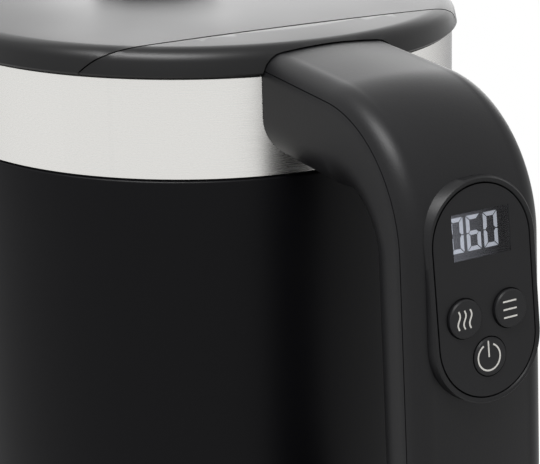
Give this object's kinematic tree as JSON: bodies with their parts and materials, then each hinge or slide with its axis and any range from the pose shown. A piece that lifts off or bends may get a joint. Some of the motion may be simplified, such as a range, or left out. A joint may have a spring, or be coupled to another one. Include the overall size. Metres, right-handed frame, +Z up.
{
  "type": "electric gooseneck kettle",
  "caption": "Electric gooseneck kettle on a power base: steel vessel in a black shell, curved spout, hinged domed lid with knob, loop handle with display and push buttons.",
  "frame": {"origin": "centre of the power base at the underside of its feet", "axes": "+Z up along the vessel axis, +X towards the handle, -X towards the spout, +Y to the left of the handle seen from the spout"},
  "size_m": [0.3118, 0.1618, 0.2179],
  "materials": {
    "steel": "fine brushed stainless steel",
    "shell_black": "satin black moulded plastic",
    "grained_black": "matte black plastic with a fine grain",
    "black_plastic": "plain matte black plastic",
    "grey_plastic": "plain mid-grey plastic",
    "panel_grey": "smooth dark grey plastic",
    "lens": "smoked clear plastic lens",
    "rubber_black": "black rubber",
    "rubber_grey": "grey silicone rubber",
    "aluminium": "plain cast aluminium",
    "brass": "plain brass contact",
    "zinc": "zinc-plated steel",
    "board_green": "green circuit board"
  },
  "bodies": {
    "base": {"base_housing": "shell_black", "base_plate": "black_plastic", "base_feet": "rubber_black", "base_screws": "zinc", "cord_gland": "rubber_black"},
    "tower": {"connector_tower": "black_plastic", "tower_contacts": "brass"},
    "kettle": {"vessel": "steel", "steel_collar": "steel", "body_shell": "shell_black", "bottom_cover": "black_plastic", "kettle_feet": "rubber_black", "bottom_screws": "zinc", "heat_plate": "aluminium", "heating_element": "aluminium", "element_terminals": "brass", "control_socket": "black_plastic", "socket_contacts": "brass", "temperature_sensor": "steel", "spout": "steel", "spout_flange": "steel", "spout_seal": "rubber_grey", "strainer": "steel", "top_ring": "black_plastic", "hinge_cover": "grained_black", "hinge_block": "zinc", "hinge_pin": "steel", "hinge_screws": "zinc", "handle_outer": "grained_black", "handle_inner": "grained_black", "handle_bracket": "zinc", "handle_screws": "zinc", "panel_bezel": "grained_black", "panel_insert": "panel_grey", "display_window": "lens", "display_module": "black_plastic", "control_board": "board_green", "button_switches": "black_plastic"},
    "lid": {"lid_cap": "grained_black", "lid_plug": "grey_plastic", "lid_seal": "rubber_grey", "lid_arms": "grey_plastic", "lid_knob": "black_plastic", "knob_screw": "zinc"},
    "menu_key": {"menu_button": "panel_grey"},
    "heat_key": {"heat_button": "panel_grey"},
    "power_key": {"power_button": "panel_grey"}
  },
  "joints": [
    {"name": "swivel", "type": "hinge", "parent": "base", "child": "tower", "pos_m": [0, 0, 0.01], "axis": [0, 0, 1], "continuous": true},
    {"name": "lift_off", "type": "slide", "parent": "tower", "child": "kettle", "axis": [0, 0, 1], "range_m": [0, 0.06]},
    {"name": "lid_hinge", "type": "hinge", "parent": "kettle", "child": "lid", "pos_m": [0.063, 0, 0.2022], "axis": [0, 1, 0], "range_deg": [0, 70]},
    {"name": "menu_press", "type": "slide", "parent": "kettle", "child": "menu_key", "axis": [-0.9863, 0, -0.165], "range_m": [0, 0.0008], "stiffness_N_per_m": 600},
    {"name": "heat_press", "type": "slide", "parent": "kettle", "child": "heat_key", "axis": [-0.9863, 0, -0.165], "range_m": [0, 0.0008], "stiffness_N_per_m": 600},
    {"name": "power_press", "type": "slide", "parent": "kettle", "child": "power_key", "axis": [-0.9863, 0, -0.165], "range_m": [0, 0.0008], "stiffness_N_per_m": 600}
  ]
}
